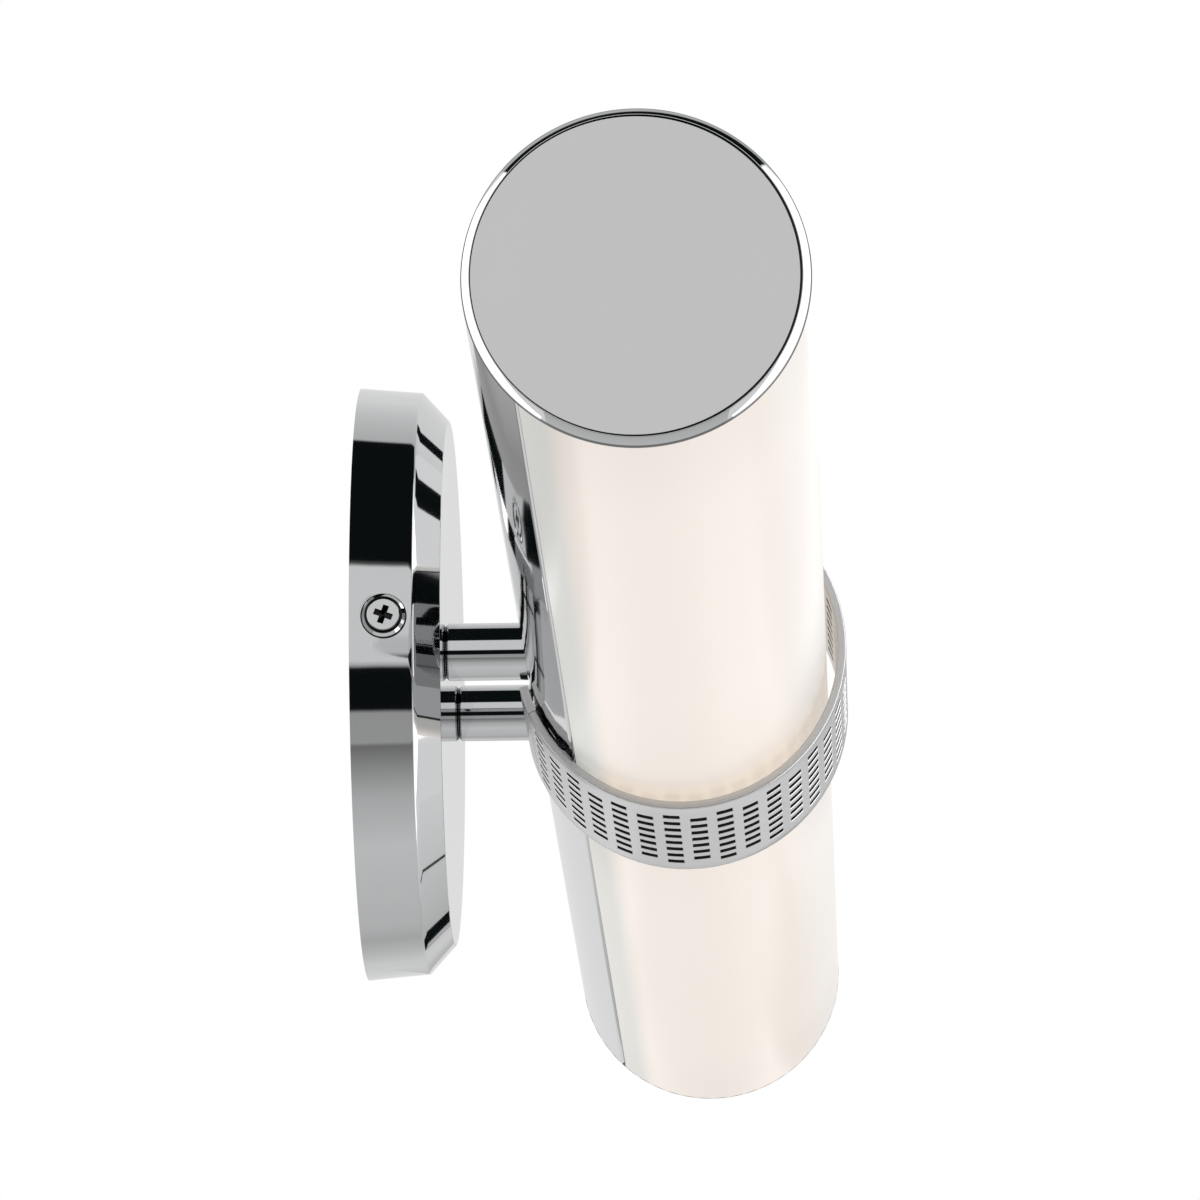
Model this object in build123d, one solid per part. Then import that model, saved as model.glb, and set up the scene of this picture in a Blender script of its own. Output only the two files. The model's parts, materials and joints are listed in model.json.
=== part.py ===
from build123d import *
import math
import os

# Horizontal bath bar: an opal tube light with a perforated centre band, on two posts and a round canopy.
# Millimetres. The origin is the centre of the canopy's wall face, X runs along the light, Z is up and
# the room is towards -Y. Angles round the tube are in degrees from its front.

# Whole light
overall_length = 610.0
tube_radius = 30.0
axis_from_wall = 63.5

# Fits
seat_gap = 0.05
slip_gap = 0.10
free_gap = 0.30

# Canopy
canopy_radius = 60.0
canopy_depth = 17.6
canopy_draft = 1.1
canopy_chamfer_width = 5.75
canopy_chamfer_depth = 5.2
canopy_wall = 1.2
canopy_edge_radius = 0.4

# Canopy screws and their washers
screw_from_wall = 6.8
screw_radius = 1.95
screw_length = 13.0
screw_head_radius = 3.45
screw_head_height = 1.0
screw_head_chamfer = 0.3
washer_radius = 4.3
washer_thickness = 0.9
washer_recess = 0.5
washer_bevel = 0.6
washer_seat_radius = 4.8

# Wall bracket and its ground screw
bracket_width = 25.4
bracket_thickness = 2.0
bracket_bend_radius = 1.0
ear_width = 16.0
ear_height = 11.0
box_screw_spacing_min = 69.85
box_screw_spacing_max = 88.9
box_screw_slot_radius = 2.4
wire_hole_radius = 8.0
ground_screw_offset = 20.0
ground_screw_radius = 1.9
ground_head_radius = 4.0
ground_head_height = 2.4
ground_head_chamfer = 0.8

# Posts and the threaded nipples inside them
post_spacing = 54.8
post_radius = 5.75
post_base_chamfer = 0.6
nipple_radius = 4.8
nipple_wall = 1.3
nipple_past_nut = 2.0
nut_across_flats = 14.0
nut_thickness = 4.0
lock_washer_radius = 7.4
lock_washer_thickness = 1.0
bushing_wall = 0.6
bushing_flange = 1.2
bushing_depth = 5.0

# Back housing, the bright extruded spine of the tube
seam_angle = 133.0
housing_wall = 2.0
housing_lip_radius = 0.9
pad_thickness = 3.5
flange_thickness = 2.2
flange_lip = 1.5
boss_radius = 2.6
boss_angle = 147.0
boss_inset = 2.2

# Light engine
tray_thickness = 2.0
tray_behind_axis = 12.0
tray_groove_depth = 0.9
tray_slot_length = 12.0
tray_slot_width = 8.0
board_width = 24.0
board_thickness = 1.6
board_middle_gap = 14.0
board_end_gap = 8.0
board_screw_inset = 8.0
led_length = 3.5
led_width = 2.8
led_height = 0.7
led_pitch = 14.0
led_row_spacing = 9.0
small_screw_radius = 1.25
small_head_radius = 2.4
small_head_height = 1.4
small_head_chamfer = 0.4
driver_length = 150.0
driver_width = 19.0
driver_height = 7.0
driver_corner = 1.5
driver_foot_length = 8.0
driver_foot_thickness = 1.2
driver_from_middle = 60.0

# Diffuser
diffuser_wall = 2.0
seam_gap = 0.3
leg_thickness = 1.0
leg_depth = 0.9
leg_behind_tray = 1.4

# End caps and their face discs
cap_thickness = 2.0
cap_bevel = 1.45
disc_thickness = 0.8
disc_land = 0.25
spigot_length = 8.0
spigot_wall = 1.6
spigot_half_angle = 110.0
cap_screw_length = 12.0
cap_screw_head_height = 1.0

# Centre band, a perforated strap that stands clear of the tube
band_width = 57.8
band_gap = 1.4
band_thickness = 1.7
band_forward = 0.9
band_half_angle = 156.6
hole_size = 3.25
hole_row_pitch = 6.04
hole_column_pitch = 9.4
hole_rows = 8
hole_columns_each_side = 16

# Clips that hold the ends of the band
clip_end_angle = 166.5
clip_foot_radius = 2.6
clip_screw_spacing = 18.0
clip_screw_cover = 0.5
clip_seat_depth = 0.4

# Sizes that follow from those above
tube_length = overall_length - 2 * cap_thickness
diffuser_inner = tube_radius - diffuser_wall
housing_inner = tube_radius - housing_wall
pad_behind_axis = tube_radius - pad_thickness
tray_back = tray_behind_axis + tray_thickness
canopy_inner_depth = canopy_depth - canopy_wall
canopy_side_depth = canopy_depth - canopy_chamfer_depth
canopy_side_slope = canopy_draft / canopy_side_depth
canopy_at_ears = canopy_radius - canopy_side_slope * ear_height - canopy_wall
screw_seat = canopy_radius - canopy_side_slope * screw_from_wall
band_inner = tube_radius + band_gap
band_outer = band_inner + band_thickness
nipple_bore = nipple_radius - nipple_wall
ear_outer = math.sqrt(canopy_at_ears**2 - (ear_width / 2) ** 2) - free_gap
flange_outer = housing_inner * math.sin(math.radians(seam_angle))
flange_inner = flange_outer - flange_thickness
tray_length = tube_length - 2 * free_gap
board_length = (tube_length - board_middle_gap) / 2 - board_end_gap
board_middle = (board_middle_gap + board_length) / 2
board_screw_places = [board_middle - board_length / 2 + board_screw_inset,
                      board_middle + board_length / 2 - board_screw_inset]
driver_middle = driver_from_middle + driver_length / 2
driver_screw_reach = (driver_length + driver_foot_length) / 2
driver_screw_places = [driver_middle - driver_screw_reach, driver_middle + driver_screw_reach]
disc_radius = tube_radius - cap_bevel - disc_land
boss_from_axis = housing_inner - boss_inset
clip_start_angle = band_half_angle + math.degrees(slip_gap / band_outer)
clip_screw_angle = (clip_start_angle + clip_end_angle) / 2
clip_screw_seat = housing_inner - clip_seat_depth
clip_face = band_outer + band_forward * math.cos(math.radians(clip_screw_angle))
clip_screw_length = clip_face - clip_screw_cover - clip_screw_seat
nipple_stack = lock_washer_thickness + nut_thickness + nipple_past_nut
nipple_start = canopy_inner_depth - nipple_stack
nipple_end = axis_from_wall - pad_behind_axis + nipple_stack
canopy_washer_start = canopy_inner_depth - lock_washer_thickness
housing_washer_start = axis_from_wall - pad_behind_axis
board_front = axis_from_wall - tray_behind_axis + board_thickness

side_signs = {"left": -1, "right": 1}
half_signs = {"upper": 1, "lower": -1}
to_room = (0, -1, 0)
to_wall = (0, 1, 0)
on_base = (Align.CENTER, Align.CENTER, Align.MIN)

# Cross-sections of the tube and of the band round it: local x is to the room, local y is up
tube_section = Plane(origin=(0, -axis_from_wall, 0), x_dir=to_room, z_dir=(-1, 0, 0))
band_section = Plane(origin=(0, -axis_from_wall - band_forward, 0), x_dir=to_room, z_dir=(-1, 0, 0))


def along_tube(sketch, length, plane=tube_section):
    """Extrude a cross-section evenly to both sides of the middle."""
    return extrude(plane * sketch, amount=length / 2, both=True)


def ring_sector(inner, outer, start, end):
    """Flat piece of a ring between two radii and two angles."""
    outer_arc = CenterArc((0, 0), outer, start, end - start)
    inner_arc = CenterArc((0, 0), inner, start, end - start)
    ends = [Line(outer_arc @ end_of_arc, inner_arc @ end_of_arc) for end_of_arc in (0, 1)]
    return make_face([outer_arc, inner_arc] + ends)


def span(x_low, x_high, y_low, y_high):
    """Flat rectangle between its edges."""
    return Pos((x_low + x_high) / 2, (y_low + y_high) / 2) * Rectangle(x_high - x_low, y_high - y_low)


def upper_and_lower(sketch):
    """A shape of the cross-section's upper half and its mirror image in the lower half."""
    return [sketch, mirror(sketch, about=Plane.XZ)]


def round_bar(start, direction, radius, length):
    """Cylinder that starts at a point and runs in a direction."""
    return Plane(origin=start, z_dir=direction) * Cylinder(radius, length, align=on_base)


def tube_bar(radius, length):
    """Cylinder on the tube's axis, centred on the middle."""
    return along_tube(Circle(radius), length)


def tube_point(x, radius, angle):
    """Point at a place along the tube, a radius from its axis and an angle from its front."""
    turn = math.radians(angle)
    return (x, -axis_from_wall - radius * math.cos(turn), radius * math.sin(turn))


def tube_outward(angle):
    """Direction straight out of the tube at an angle from its front."""
    turn = math.radians(angle)
    return (0, -math.cos(turn), math.sin(turn))


def pan_screw(seat, direction, radius, length, head_radius, head_height, head_chamfer):
    """Pan head screw whose head sits on a point and whose shank runs in a direction."""
    head = Cylinder(head_radius, head_height, align=on_base)
    head = chamfer(head.edges().group_by(Axis.Z)[-1], head_chamfer)
    shank = Cylinder(radius, length, align=on_base)
    return Plane(origin=seat, z_dir=direction) * (Rot(180, 0, 0) * head + shank)


def small_screw(seat, direction, length):
    """Pan head screw of the size that holds the light engine and the band's clips."""
    return pan_screw(seat, direction, small_screw_radius, length, small_head_radius, small_head_height,
                     small_head_chamfer)


def small_hole(seat, direction, length):
    """Cutter for the hole that such a screw passes."""
    return round_bar(seat, direction, small_screw_radius + slip_gap, length)


def canopy():
    """Tapered and chamfered dish, open towards the wall, pierced for the nipples and the side screws."""
    rim_radius = canopy_radius - canopy_draft
    face_radius = rim_radius - canopy_chamfer_width
    past = canopy_wall
    outline = Polyline(
        (-past, past),
        (canopy_radius + canopy_side_slope * past, past),
        (rim_radius, -canopy_side_depth),
        (face_radius, -canopy_depth),
        (-past, -canopy_depth),
        close=True,
    )
    outside = make_face(outline)
    inside = offset(outside, -canopy_wall, kind=Kind.INTERSECTION)
    ridges = outside.vertices().filter_by(lambda v: v.X > 0 and v.Y < 0)
    wall = fillet(ridges, canopy_edge_radius) - inside
    shell = revolve(wall & span(0, canopy_radius, -canopy_depth, 0), Axis.Y)
    cuts = [
        round_bar((side * post_spacing / 2, 0, 0), to_room, nipple_radius + slip_gap, canopy_depth)
        for side in side_signs.values()
    ]
    for side in side_signs.values():
        cuts.append(round_bar((0, -screw_from_wall, 0), (side, 0, 0), screw_radius + free_gap, canopy_radius))
        seat = (side * screw_seat, -screw_from_wall, 0)
        cuts.append(round_bar(seat, (side, 0, 0), washer_seat_radius, canopy_draft))
    return shell - cuts


def canopy_screw(side):
    """Low pan head screw that passes the canopy's side and bites in the bracket's ear."""
    seat = (side * (screw_seat + seat_gap + washer_thickness - washer_recess), -screw_from_wall, 0)
    return pan_screw(seat, (-side, 0, 0), screw_radius, screw_length, screw_head_radius, screw_head_height,
                     screw_head_chamfer)


def screw_washer(side):
    """Bevelled cup washer that takes a canopy screw's head and lies on the flat in the canopy's side."""
    cup = Cylinder(washer_radius, washer_thickness, align=on_base)
    cup = chamfer(cup.edges().group_by(Axis.Z)[-1], washer_bevel)
    floor = washer_thickness - washer_recess
    cup -= Pos(0, 0, floor) * Cylinder(screw_head_radius + slip_gap, washer_recess, align=on_base)
    cup -= Cylinder(screw_radius + free_gap, floor, align=on_base)
    return Plane(origin=(side * (screw_seat + seat_gap), -screw_from_wall, 0), z_dir=(side, 0, 0)) * cup


def wall_bracket():
    """Bent strap with two box slots, a wire hole, a ground screw hole and two tapped ears."""
    profile = span(-ear_outer, ear_outer, -ear_height, 0)
    ear_inner = ear_outer - bracket_thickness
    profile -= span(-ear_inner, ear_inner, -ear_height, -bracket_thickness)
    corners = profile.vertices().filter_by(lambda v: abs(v.Y + bracket_thickness) < seat_gap)
    profile = fillet(corners, bracket_bend_radius)
    outer_bend = bracket_bend_radius + bracket_thickness
    profile = fillet(profile.vertices().group_by(Axis.Y)[-1], outer_bend)
    strap = extrude(profile, amount=bracket_width / 2, both=True)
    cuts = [
        Pos(x * ear_outer, -ear_height / 2, z * bracket_width / 2)
        * Box(2 * outer_bend, ear_height, bracket_width - ear_width)
        for x in side_signs.values()
        for z in half_signs.values()
    ]
    slot_place = (box_screw_spacing_min + box_screw_spacing_max) / 4
    slot_travel = (box_screw_spacing_max - box_screw_spacing_min) / 2
    slot = SlotCenterToCenter(slot_travel, 2 * box_screw_slot_radius)
    cuts += [
        Pos(side * slot_place, 0, 0) * extrude(Plane.XZ * slot, amount=bracket_thickness)
        for side in side_signs.values()
    ]
    cuts.append(round_bar((0, 0, 0), to_room, wire_hole_radius, bracket_thickness))
    ground_hole = ground_screw_radius + slip_gap
    cuts.append(round_bar((ground_screw_offset, 0, 0), to_room, ground_hole, bracket_thickness))
    cuts += [
        round_bar((0, -screw_from_wall, 0), (side, 0, 0), screw_radius + seat_gap, canopy_radius)
        for side in side_signs.values()
    ]
    return strap - cuts


def ground_screw():
    """Pan head screw on the room side of the bracket, ending flush with its wall side."""
    seat = (ground_screw_offset, -bracket_thickness, 0)
    return pan_screw(seat, to_wall, ground_screw_radius, bracket_thickness, ground_head_radius,
                     ground_head_height, ground_head_chamfer)


def post(side):
    """Sleeve from the canopy's face to the tube: chamfered foot, end coped to the tube's round back."""
    start = (side * post_spacing / 2, -canopy_depth, 0)
    sleeve = round_bar(start, to_room, post_radius, axis_from_wall - canopy_depth)
    foot = sleeve.edges().filter_by(GeomType.CIRCLE).group_by(Axis.Y)[-1]
    sleeve = chamfer(foot, post_base_chamfer)
    sleeve -= round_bar(start, to_room, nipple_radius + slip_gap, axis_from_wall)
    return sleeve - tube_bar(tube_radius + seat_gap, overall_length)


def ring(side, start, radius, bore, thickness):
    """Flat ring on a post's axis, at a distance from the wall."""
    place = (side * post_spacing / 2, -start, 0)
    return round_bar(place, to_room, radius, thickness) - round_bar(place, to_room, bore, thickness)


def nipple(side):
    """Threaded tube that clamps the canopy, the post and the housing together and carries the leads."""
    return ring(side, nipple_start, nipple_radius, nipple_bore, nipple_end - nipple_start)


def lock_washer(side, start):
    """Washer under a nipple's nut."""
    return ring(side, start, lock_washer_radius, nipple_radius + slip_gap, lock_washer_thickness)


def nipple_nut(side, start):
    """Hexagon nut on a nipple."""
    place = Plane(origin=(side * post_spacing / 2, -start, 0), x_dir=(1, 0, 0), z_dir=to_room)
    hexagon = RegularPolygon(nut_across_flats / 2, 6, major_radius=False)
    return extrude(place * (hexagon - Circle(nipple_radius + slip_gap)), amount=nut_thickness)


def wire_bushing(side):
    """Flanged sleeve that covers the nipple's sharp end inside the canopy."""
    outer = nipple_bore - slip_gap
    flange = ring(side, nipple_start - bushing_flange, nipple_radius, outer - bushing_wall, bushing_flange)
    return flange + ring(side, nipple_start, outer, outer - bushing_wall, bushing_depth)


def boss_places():
    """Centres of the two screw bosses in the upper and lower halves of the cross-section."""
    turn = math.radians(boss_angle)
    across = boss_from_axis * math.sin(turn)
    return [(boss_from_axis * math.cos(turn), half * across) for half in half_signs.values()]


def leg_span(side_room, depth_room):
    """Upper leg of the diffuser, or its groove when given room at the sides and below."""
    front = -tray_back - leg_behind_tray
    return span(front - leg_thickness - side_room, front + side_room, flange_outer - leg_depth - depth_room,
                tube_radius)


def back_housing():
    """Extruded spine: round back with rolled lips, nut pad, screw bosses, grooved flanges."""
    shape = ring_sector(housing_inner, tube_radius, seam_angle, 360 - seam_angle)
    lips = shape.vertices().filter_by(lambda v: math.hypot(v.X, v.Y) > tube_radius - seat_gap)
    shape = fillet(lips, housing_lip_radius)
    shape += Circle(tube_radius) & span(-tube_radius, -pad_behind_axis, -tube_radius, tube_radius)
    for centre in boss_places():
        shape += Pos(*centre) * Circle(boss_radius)
    flange_back = math.sqrt(housing_inner**2 - flange_inner**2) + housing_wall / 4
    flange = span(-flange_back, flange_lip - tray_behind_axis, flange_inner, flange_outer)
    flange -= leg_span(slip_gap, slip_gap)
    groove_floor = flange_inner + tray_groove_depth
    flange -= span(-tray_back - slip_gap, slip_gap - tray_behind_axis, flange_inner, groove_floor)
    for half in upper_and_lower(flange):
        shape += half
    shape = shape & Circle(tube_radius)
    for centre in boss_places():
        shape -= Pos(*centre) * Circle(small_screw_radius + slip_gap)
    cuts = [
        round_bar((side * post_spacing / 2, 0, 0), to_room, nipple_radius + slip_gap, axis_from_wall)
        for side in side_signs.values()
    ]
    for x, angle in clip_screw_spots():
        cuts.append(small_hole(tube_point(x, 0, angle), tube_outward(angle), 2 * tube_radius))
        spot = tube_point(x, clip_screw_seat - small_head_height, angle)
        cuts.append(round_bar(spot, tube_outward(angle), small_head_radius + free_gap, small_head_height))
    return along_tube(shape, tube_length) - cuts


def led_tray():
    """Flat plate in the housing's grooves, with a slot for the leads and holes for the screws."""
    half_width = flange_inner + tray_groove_depth - slip_gap
    plate = along_tube(span(-tray_back, -tray_behind_axis, -half_width, half_width), tray_length)
    middle = Plane(origin=(0, tray_behind_axis - axis_from_wall, 0), x_dir=(1, 0, 0), z_dir=to_wall)
    cuts = [extrude(middle * SlotOverall(tray_slot_length, tray_slot_width), amount=tray_thickness)]
    holes = [side * x for side in side_signs.values() for x in board_screw_places] + driver_screw_places
    start = tray_behind_axis - axis_from_wall
    cuts += [small_hole((x, start, 0), to_wall, tray_thickness) for x in holes]
    return plate - cuts


def led_board(side):
    """Narrow circuit board on the front of the tray, from beside the middle to near one end."""
    centre = Pos(side * board_middle, board_thickness / 2 - board_front, 0)
    board = centre * Box(board_length, board_thickness, board_width)
    holes = [(side * x, -board_front, 0) for x in board_screw_places]
    return board - [small_hole(place, to_wall, board_thickness) for place in holes]


def led_chips(side):
    """Two rows of light emitting packages along a board."""
    count = int(board_length / led_pitch)
    places = [side * board_middle + (i - (count - 1) / 2) * led_pitch for i in range(count)]
    package = Pos(0, -board_front - led_height / 2, 0) * Box(led_length, led_height, led_width)
    return [Pos(x, 0, row * led_row_spacing / 2) * package for x in places for row in half_signs.values()]


def board_screws():
    """Screws that hold both boards to the tray."""
    length = board_thickness + tray_thickness - seat_gap
    return [small_screw((side * x, -board_front, 0), to_wall, length)
            for side in side_signs.values() for x in board_screw_places]


def led_driver():
    """Slim power supply behind the tray, with a screw foot at each end."""
    back = axis_from_wall - tray_back
    body = Pos(driver_middle, driver_height / 2 - back, 0) * Box(driver_length, driver_height, driver_width)
    edges = body.edges().group_by(Axis.Y)[-1] + body.edges().filter_by(Axis.Y)
    body = fillet(edges, driver_corner)
    foot = Box(driver_length + 2 * driver_foot_length, driver_foot_thickness, driver_width)
    driver = body + Pos(driver_middle, driver_foot_thickness / 2 - back, 0) * foot
    return driver - [small_hole((x, -back, 0), to_wall, driver_foot_thickness) for x in driver_screw_places]


def driver_screws():
    """Screws through the power supply's feet into the tray."""
    seat = driver_foot_thickness - axis_from_wall + tray_back
    length = driver_foot_thickness + tray_thickness - seat_gap
    return [small_screw((x, seat, 0), to_room, length) for x in driver_screw_places]


def diffuser():
    """Opal sleeve over the front of the tube, with a leg along each edge that hooks in the housing."""
    edge_angle = seam_angle - math.degrees(seam_gap / tube_radius)
    shape = ring_sector(diffuser_inner, tube_radius, -edge_angle, edge_angle)
    inside = Circle((diffuser_inner + tube_radius) / 2)
    for leg in upper_and_lower(leg_span(0, 0) & inside):
        shape += leg
    return along_tube(shape, tube_length)


def cap_plane(side, from_tube):
    """Plane of an end cap, a distance out from the tube's end and facing outwards."""
    place = (side * (tube_length / 2 + from_tube), -axis_from_wall, 0)
    return Plane(origin=place, x_dir=to_room, z_dir=(side, 0, 0))


def end_cap(side):
    """Bevelled end plate with a recess for its face disc, a spigot in the diffuser and two sunk holes."""
    plate = Cylinder(tube_radius, cap_thickness, align=on_base)
    plate = chamfer(plate.edges().group_by(Axis.Z)[-1], cap_bevel)
    floor = cap_thickness - disc_thickness
    plate -= Pos(0, 0, floor) * Cylinder(disc_radius + slip_gap, disc_thickness, align=on_base)
    spigot_outer = diffuser_inner - slip_gap
    rim = ring_sector(spigot_outer - spigot_wall, spigot_outer, -spigot_half_angle, spigot_half_angle)
    plate += extrude(rim, amount=-spigot_length)
    for centre in boss_places():
        plate -= Pos(*centre, floor - cap_screw_head_height) * sunk_head(slip_gap)
        plate -= Pos(*centre) * Cylinder(small_screw_radius + slip_gap, floor, align=on_base)
    return cap_plane(side, 0) * plate


def sunk_head(room):
    """Cone of a countersunk head, with room all round when it is the cutter for its seat."""
    return Cone(small_screw_radius + room, small_head_radius + room, cap_screw_head_height, align=on_base)


def end_cap_screws(side):
    """Countersunk screws from an end cap into the housing's bosses, hidden by the face disc."""
    floor = cap_thickness - disc_thickness
    shank = Cylinder(small_screw_radius, cap_screw_length, align=on_base)
    screw = sunk_head(0) + Pos(0, 0, -cap_screw_length) * shank
    place = cap_plane(side, floor - cap_screw_head_height - seat_gap)
    return [place * (Pos(*centre) * screw) for centre in boss_places()]


def end_disc(side):
    """Polished face disc that fills an end cap's recess."""
    disc = Cylinder(disc_radius, disc_thickness, align=on_base)
    return cap_plane(side, cap_thickness - disc_thickness) * disc


def center_band():
    """Open strap round the tube, pierced by columns of square holes that shift by half a pitch in turn."""
    sheet = ring_sector(band_inner, band_outer, -band_half_angle, band_half_angle)
    cutter = Pos(0, 0, band_inner) * Box(hole_size, hole_size, 2 * band_thickness)
    holes = []
    for column in range(-hole_columns_each_side, hole_columns_each_side + 1):
        direction = tube_outward(column * hole_column_pitch)
        rows = hole_rows - column % 2
        for row in range(rows):
            place = band_section.origin + Vector((row - (rows - 1) / 2) * hole_row_pitch, 0, 0)
            holes.append(Plane(origin=place, x_dir=(1, 0, 0), z_dir=direction) * cutter)
    return along_tube(sheet, band_width, band_section) - holes


def clip_screw_spots():
    """Places along and round the tube of the screws that hold the band's clips."""
    return [(side * clip_screw_spacing / 2, half * clip_screw_angle)
            for half in half_signs.values() for side in side_signs.values()]


def band_clip(half):
    """Bar that ends the band, on two feet that stand on the housing."""
    bar = upper_and_lower(ring_sector(band_inner, band_outer, clip_start_angle, clip_end_angle))
    clip = along_tube(bar[0] if half > 0 else bar[1], band_width, band_section)
    spots = [(x, angle) for x, angle in clip_screw_spots() if angle * half > 0]
    foot_length = clip_face - band_thickness / 2 - housing_inner
    for x, angle in spots:
        foot_start = tube_point(x, housing_inner, angle)
        clip += round_bar(foot_start, tube_outward(angle), clip_foot_radius, foot_length)
    clip -= tube_bar(tube_radius + seat_gap, overall_length)
    for x, angle in spots:
        hole_start = tube_point(x, clip_screw_seat, angle)
        clip -= small_hole(hole_start, tube_outward(angle), clip_screw_length + slip_gap)
    return clip


def clip_screws():
    """Screws from inside the housing into the feet of the band's clips."""
    return [small_screw(tube_point(x, clip_screw_seat, angle), tube_outward(angle), clip_screw_length)
            for x, angle in clip_screw_spots()]


nodes = {
    "wall_bracket": wall_bracket(),
    "ground_screw": ground_screw(),
    "canopy": canopy(),
    "back_housing": back_housing(),
    "led_tray": led_tray(),
    "board_screws": board_screws(),
    "led_driver": led_driver(),
    "driver_screws": driver_screws(),
    "diffuser": diffuser(),
    "center_band": center_band(),
    "clip_screws": clip_screws(),
}
for half_name, half in half_signs.items():
    nodes[f"band_clip_{half_name}"] = band_clip(half)
for name, side in side_signs.items():
    nodes[f"canopy_screw_{name}"] = canopy_screw(side)
    nodes[f"screw_washer_{name}"] = screw_washer(side)
    nodes[f"post_{name}"] = post(side)
    nodes[f"nipple_{name}"] = nipple(side)
    nodes[f"wire_bushing_{name}"] = wire_bushing(side)
    nodes[f"canopy_lock_washer_{name}"] = lock_washer(side, canopy_washer_start)
    nodes[f"canopy_nut_{name}"] = nipple_nut(side, canopy_washer_start - nut_thickness)
    nodes[f"housing_lock_washer_{name}"] = lock_washer(side, housing_washer_start)
    nodes[f"housing_nut_{name}"] = nipple_nut(side, housing_washer_start + lock_washer_thickness)
    nodes[f"led_board_{name}"] = led_board(side)
    nodes[f"led_chips_{name}"] = led_chips(side)
    nodes[f"end_cap_{name}"] = end_cap(side)
    nodes[f"end_cap_screws_{name}"] = end_cap_screws(side)
    nodes[f"end_disc_{name}"] = end_disc(side)

os.makedirs("parts", exist_ok=True)
for name, shape in nodes.items():
    solids = shape if isinstance(shape, list) else shape.solids()
    export_step(Compound(children=list(solids)), f"parts/{name}.step")
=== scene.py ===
"""Bath bar light: finishes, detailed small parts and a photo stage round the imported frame."""
import json
import math

import bmesh
import bpy
import numpy as np
from mathutils import Matrix, Vector

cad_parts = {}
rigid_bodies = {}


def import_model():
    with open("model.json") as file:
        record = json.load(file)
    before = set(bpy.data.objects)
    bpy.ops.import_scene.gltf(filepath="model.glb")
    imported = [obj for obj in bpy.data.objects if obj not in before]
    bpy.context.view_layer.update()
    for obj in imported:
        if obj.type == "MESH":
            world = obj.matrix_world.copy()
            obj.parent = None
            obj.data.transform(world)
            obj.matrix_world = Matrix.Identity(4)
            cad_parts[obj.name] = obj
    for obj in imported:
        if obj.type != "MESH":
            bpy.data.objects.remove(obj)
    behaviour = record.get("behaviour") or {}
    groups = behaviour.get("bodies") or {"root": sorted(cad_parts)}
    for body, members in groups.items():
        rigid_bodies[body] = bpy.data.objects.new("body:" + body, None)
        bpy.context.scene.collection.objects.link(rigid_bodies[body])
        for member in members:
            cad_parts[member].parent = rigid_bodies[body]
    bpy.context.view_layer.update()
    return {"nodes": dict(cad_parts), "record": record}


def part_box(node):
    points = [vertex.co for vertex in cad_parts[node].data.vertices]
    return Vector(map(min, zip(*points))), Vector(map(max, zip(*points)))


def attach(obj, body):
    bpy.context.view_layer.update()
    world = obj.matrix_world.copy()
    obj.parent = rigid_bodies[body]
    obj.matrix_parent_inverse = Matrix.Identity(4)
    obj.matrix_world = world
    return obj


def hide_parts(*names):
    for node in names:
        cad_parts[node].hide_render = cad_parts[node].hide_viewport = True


bl_info = {
    "name": "Bath bar light",
    "version": (1, 0, 0),
    "blender": (4, 5, 0),
    "location": "View3D > Sidebar > Bath bar",
    "description": "Finishes, detailed small parts and a photo stage for a bath bar light",
    "category": "Object",
}

bpy.data.batch_remove([*bpy.data.objects])  # what a new file holds
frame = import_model()
MM = 0.001
SIDES = {"left": -1, "right": 1}

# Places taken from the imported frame
DISC_LOW, DISC_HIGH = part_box("end_disc_left")
CAP_LOW, CAP_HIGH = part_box("end_cap_left")
BAND_LOW, BAND_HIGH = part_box("center_band")
HEAD_LOW, HEAD_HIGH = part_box("canopy_screw_left")
POST_LOW, POST_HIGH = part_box("post_right")
SCREW_Y = (HEAD_LOW.y + HEAD_HIGH.y) / 2
SCREW_END = -HEAD_LOW.x
TUBE_Y = (CAP_LOW.y + CAP_HIGH.y) / 2
TUBE_END = -CAP_LOW.x
TUBE_RADIUS = (CAP_HIGH.z - CAP_LOW.z) / 2
RECESS_RADIUS = (DISC_HIGH.z - DISC_LOW.z) / 2 + 0.10 * MM
BAND_RADIUS = (BAND_HIGH.z - BAND_LOW.z) / 2
BAND_Y = BAND_LOW.y + BAND_RADIUS
BAND_HALF = (BAND_HIGH.x - BAND_LOW.x) / 2
POST_X = (POST_LOW.x + POST_HIGH.x) / 2
CANOPY_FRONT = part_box("canopy")[0].y

# Sizes that the boxes don't show
BAND_WALL = 1.7 * MM
CAP_THICK = 2.0 * MM
CHAMFER_WIDTH, CHAMFER_DEPTH = 5.75 * MM, 5.2 * MM
CHAMFER_RADIUS = 57 * MM


def length(name, about, default):
    """A size in metres that a user may change."""
    return bpy.props.FloatProperty(name=name, description=about, default=default, unit="LENGTH", precision=5)


def rotation(name, about, degrees):
    """An angle that a user may change."""
    return bpy.props.FloatProperty(name=name, description=about, default=math.radians(degrees), subtype="ANGLE")


def number(name, about, default):
    """A whole number of things."""
    return bpy.props.IntProperty(name=name, description=about, default=default, min=1)


def share(name, about, default):
    """A plain number from nought to one."""
    return bpy.props.FloatProperty(name=name, description=about, default=default, min=0, max=1, subtype="FACTOR")


def tint(name, about, default):
    """A linear colour."""
    return bpy.props.FloatVectorProperty(name=name, description=about, default=default, size=3, subtype="COLOR",
                                         min=0, max=1)


def point(name, about, default):
    """A place in the row frame."""
    return bpy.props.FloatVectorProperty(name=name, description=about, default=default, size=3,
                                         subtype="TRANSLATION", unit="LENGTH")


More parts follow.
